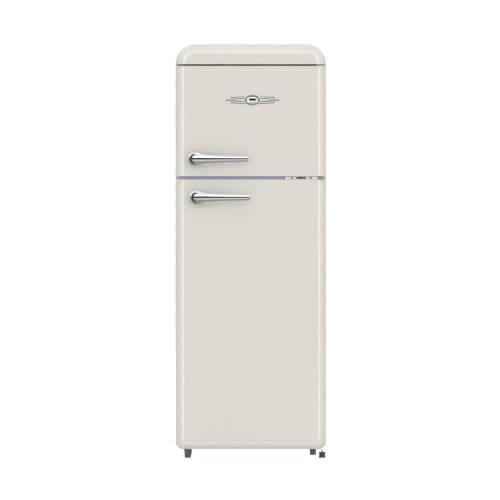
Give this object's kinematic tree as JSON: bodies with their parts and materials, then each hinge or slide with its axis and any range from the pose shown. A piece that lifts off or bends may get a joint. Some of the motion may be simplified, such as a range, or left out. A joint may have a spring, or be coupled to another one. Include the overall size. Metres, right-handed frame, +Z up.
{
  "type": "refrigerator",
  "caption": "Tall retro two-door refrigerator with a freezer compartment above, rounded top cover, chrome lever handles, right-hand hinges, shelves, door bins and a crisper drawer.",
  "frame": {"origin": "on the floor, under the middle of the whole object's bounding box", "axes": "+Z up, the doors face -Y, the hinges are on the +X side"},
  "size_m": [0.5424, 0.59, 1.488],
  "materials": {
    "cream_paint": "gloss cream enamel on steel sheet",
    "cream_plastic": "gloss cream, matched to the enamel",
    "chrome": "polished chrome plate",
    "steel": "plain galvanised sheet",
    "strip_paint": "satin blue grey",
    "white_liner": "satin white moulded plastic",
    "gasket_rubber": "soft light grey",
    "foam": "rigid insulation foam",
    "foot_plastic": "matt greenish grey",
    "dark_plastic": "matt dark grey",
    "clear_plastic": "clear moulded plastic",
    "shelf_glass": "clear toughened glass",
    "black_enamel": "black enamel",
    "copper": "drawn copper",
    "aluminium": "mill finish",
    "lamp_glass": "frosted"
  },
  "bodies": {
    "cabinet": {"cabinet_shell": "cream_paint", "back_panel": "steel", "base_panel": "steel", "mullion_strip": "strip_paint", "freezer_liner": "white_liner", "fridge_liner": "white_liner", "cabinet_foam": "foam", "freezer_evaporator": "aluminium", "fridge_evaporator": "aluminium", "top_cover": "cream_plastic", "top_hinge": "chrome", "middle_hinge": "chrome", "bottom_hinge": "chrome", "rear_left_foot": "foot_plastic", "rear_right_foot": "foot_plastic", "compressor_rail": "steel", "compressor": "black_enamel", "start_relay": "dark_plastic", "drip_tray": "dark_plastic", "filter_drier": "copper", "suction_pipe": "copper", "condenser_tube": "black_enamel", "condenser_bracket_left": "black_enamel", "condenser_bracket_right": "black_enamel", "cord_gland": "dark_plastic", "crisper_glass": "shelf_glass", "middle_shelf": "shelf_glass", "upper_shelf": "shelf_glass", "freezer_shelf": "shelf_glass", "thermostat_housing": "white_liner", "lamp_cover": "lamp_glass", "lamp_bulb": "lamp_glass", "switch_housing": "white_liner"},
    "freezer_door": {"freezer_door_cap_top": "cream_plastic", "freezer_door_cap_bottom": "cream_plastic", "freezer_door_skin": "cream_paint", "freezer_door_foam": "foam", "freezer_door_panel": "white_liner", "freezer_door_gasket": "gasket_rubber", "freezer_bin_lower": "clear_plastic", "freezer_bin_upper": "clear_plastic", "freezer_handle_lever": "chrome", "freezer_handle_base": "chrome", "badge": "chrome"},
    "fridge_door": {"fridge_door_cap_top": "cream_plastic", "fridge_door_cap_bottom": "cream_plastic", "fridge_door_skin": "cream_paint", "fridge_door_foam": "foam", "fridge_door_panel": "white_liner", "fridge_door_gasket": "gasket_rubber", "bottle_bin": "clear_plastic", "middle_bin": "clear_plastic", "top_bin": "clear_plastic", "fridge_handle_lever": "chrome", "fridge_handle_base": "chrome"},
    "crisper": {"crisper_drawer": "clear_plastic"},
    "knob": {"thermostat_knob": "dark_plastic"},
    "plunger": {"switch_plunger": "white_liner"},
    "left_foot": {"front_left_foot": "foot_plastic"},
    "right_foot": {"front_right_foot": "dark_plastic"}
  },
  "joints": [
    {"name": "freezer_door_hinge", "type": "hinge", "parent": "cabinet", "child": "freezer_door", "pos_m": [0.252, -0.227, 1.012], "axis": [0, 0, 1], "range_deg": [0, 130]},
    {"name": "fridge_door_hinge", "type": "hinge", "parent": "cabinet", "child": "fridge_door", "pos_m": [0.252, -0.227, 0.033], "axis": [0, 0, 1], "range_deg": [0, 130]},
    {"name": "crisper_slide", "type": "slide", "parent": "cabinet", "child": "crisper", "axis": [0, -1, 0], "range_m": [0, 0.13]},
    {"name": "switch_plunger_slide", "type": "slide", "parent": "cabinet", "child": "plunger", "axis": [0, -1, 0], "range_m": [0, 0.006]},
    {"name": "thermostat_turn", "type": "hinge", "parent": "cabinet", "child": "knob", "pos_m": [0.0475, -0.055, 0.9567], "axis": [0, -1, 0], "range_deg": [-135, 135]},
    {"name": "left_foot_turn", "type": "hinge", "parent": "cabinet", "child": "left_foot", "pos_m": [-0.227, -0.153, 0], "axis": [0, 0, 1], "range_deg": [-720, 720]},
    {"name": "right_foot_turn", "type": "hinge", "parent": "cabinet", "child": "right_foot", "pos_m": [0.257, -0.169, 0], "axis": [0, 0, 1], "range_deg": [-720, 720]}
  ],
  "couplings": [
    {"joint": "crisper_slide", "follows": "fridge_door_hinge", "m_per_rad": 0.0572},
    {"joint": "switch_plunger_slide", "follows": "fridge_door_hinge", "m_per_rad": 0.00264}
  ]
}
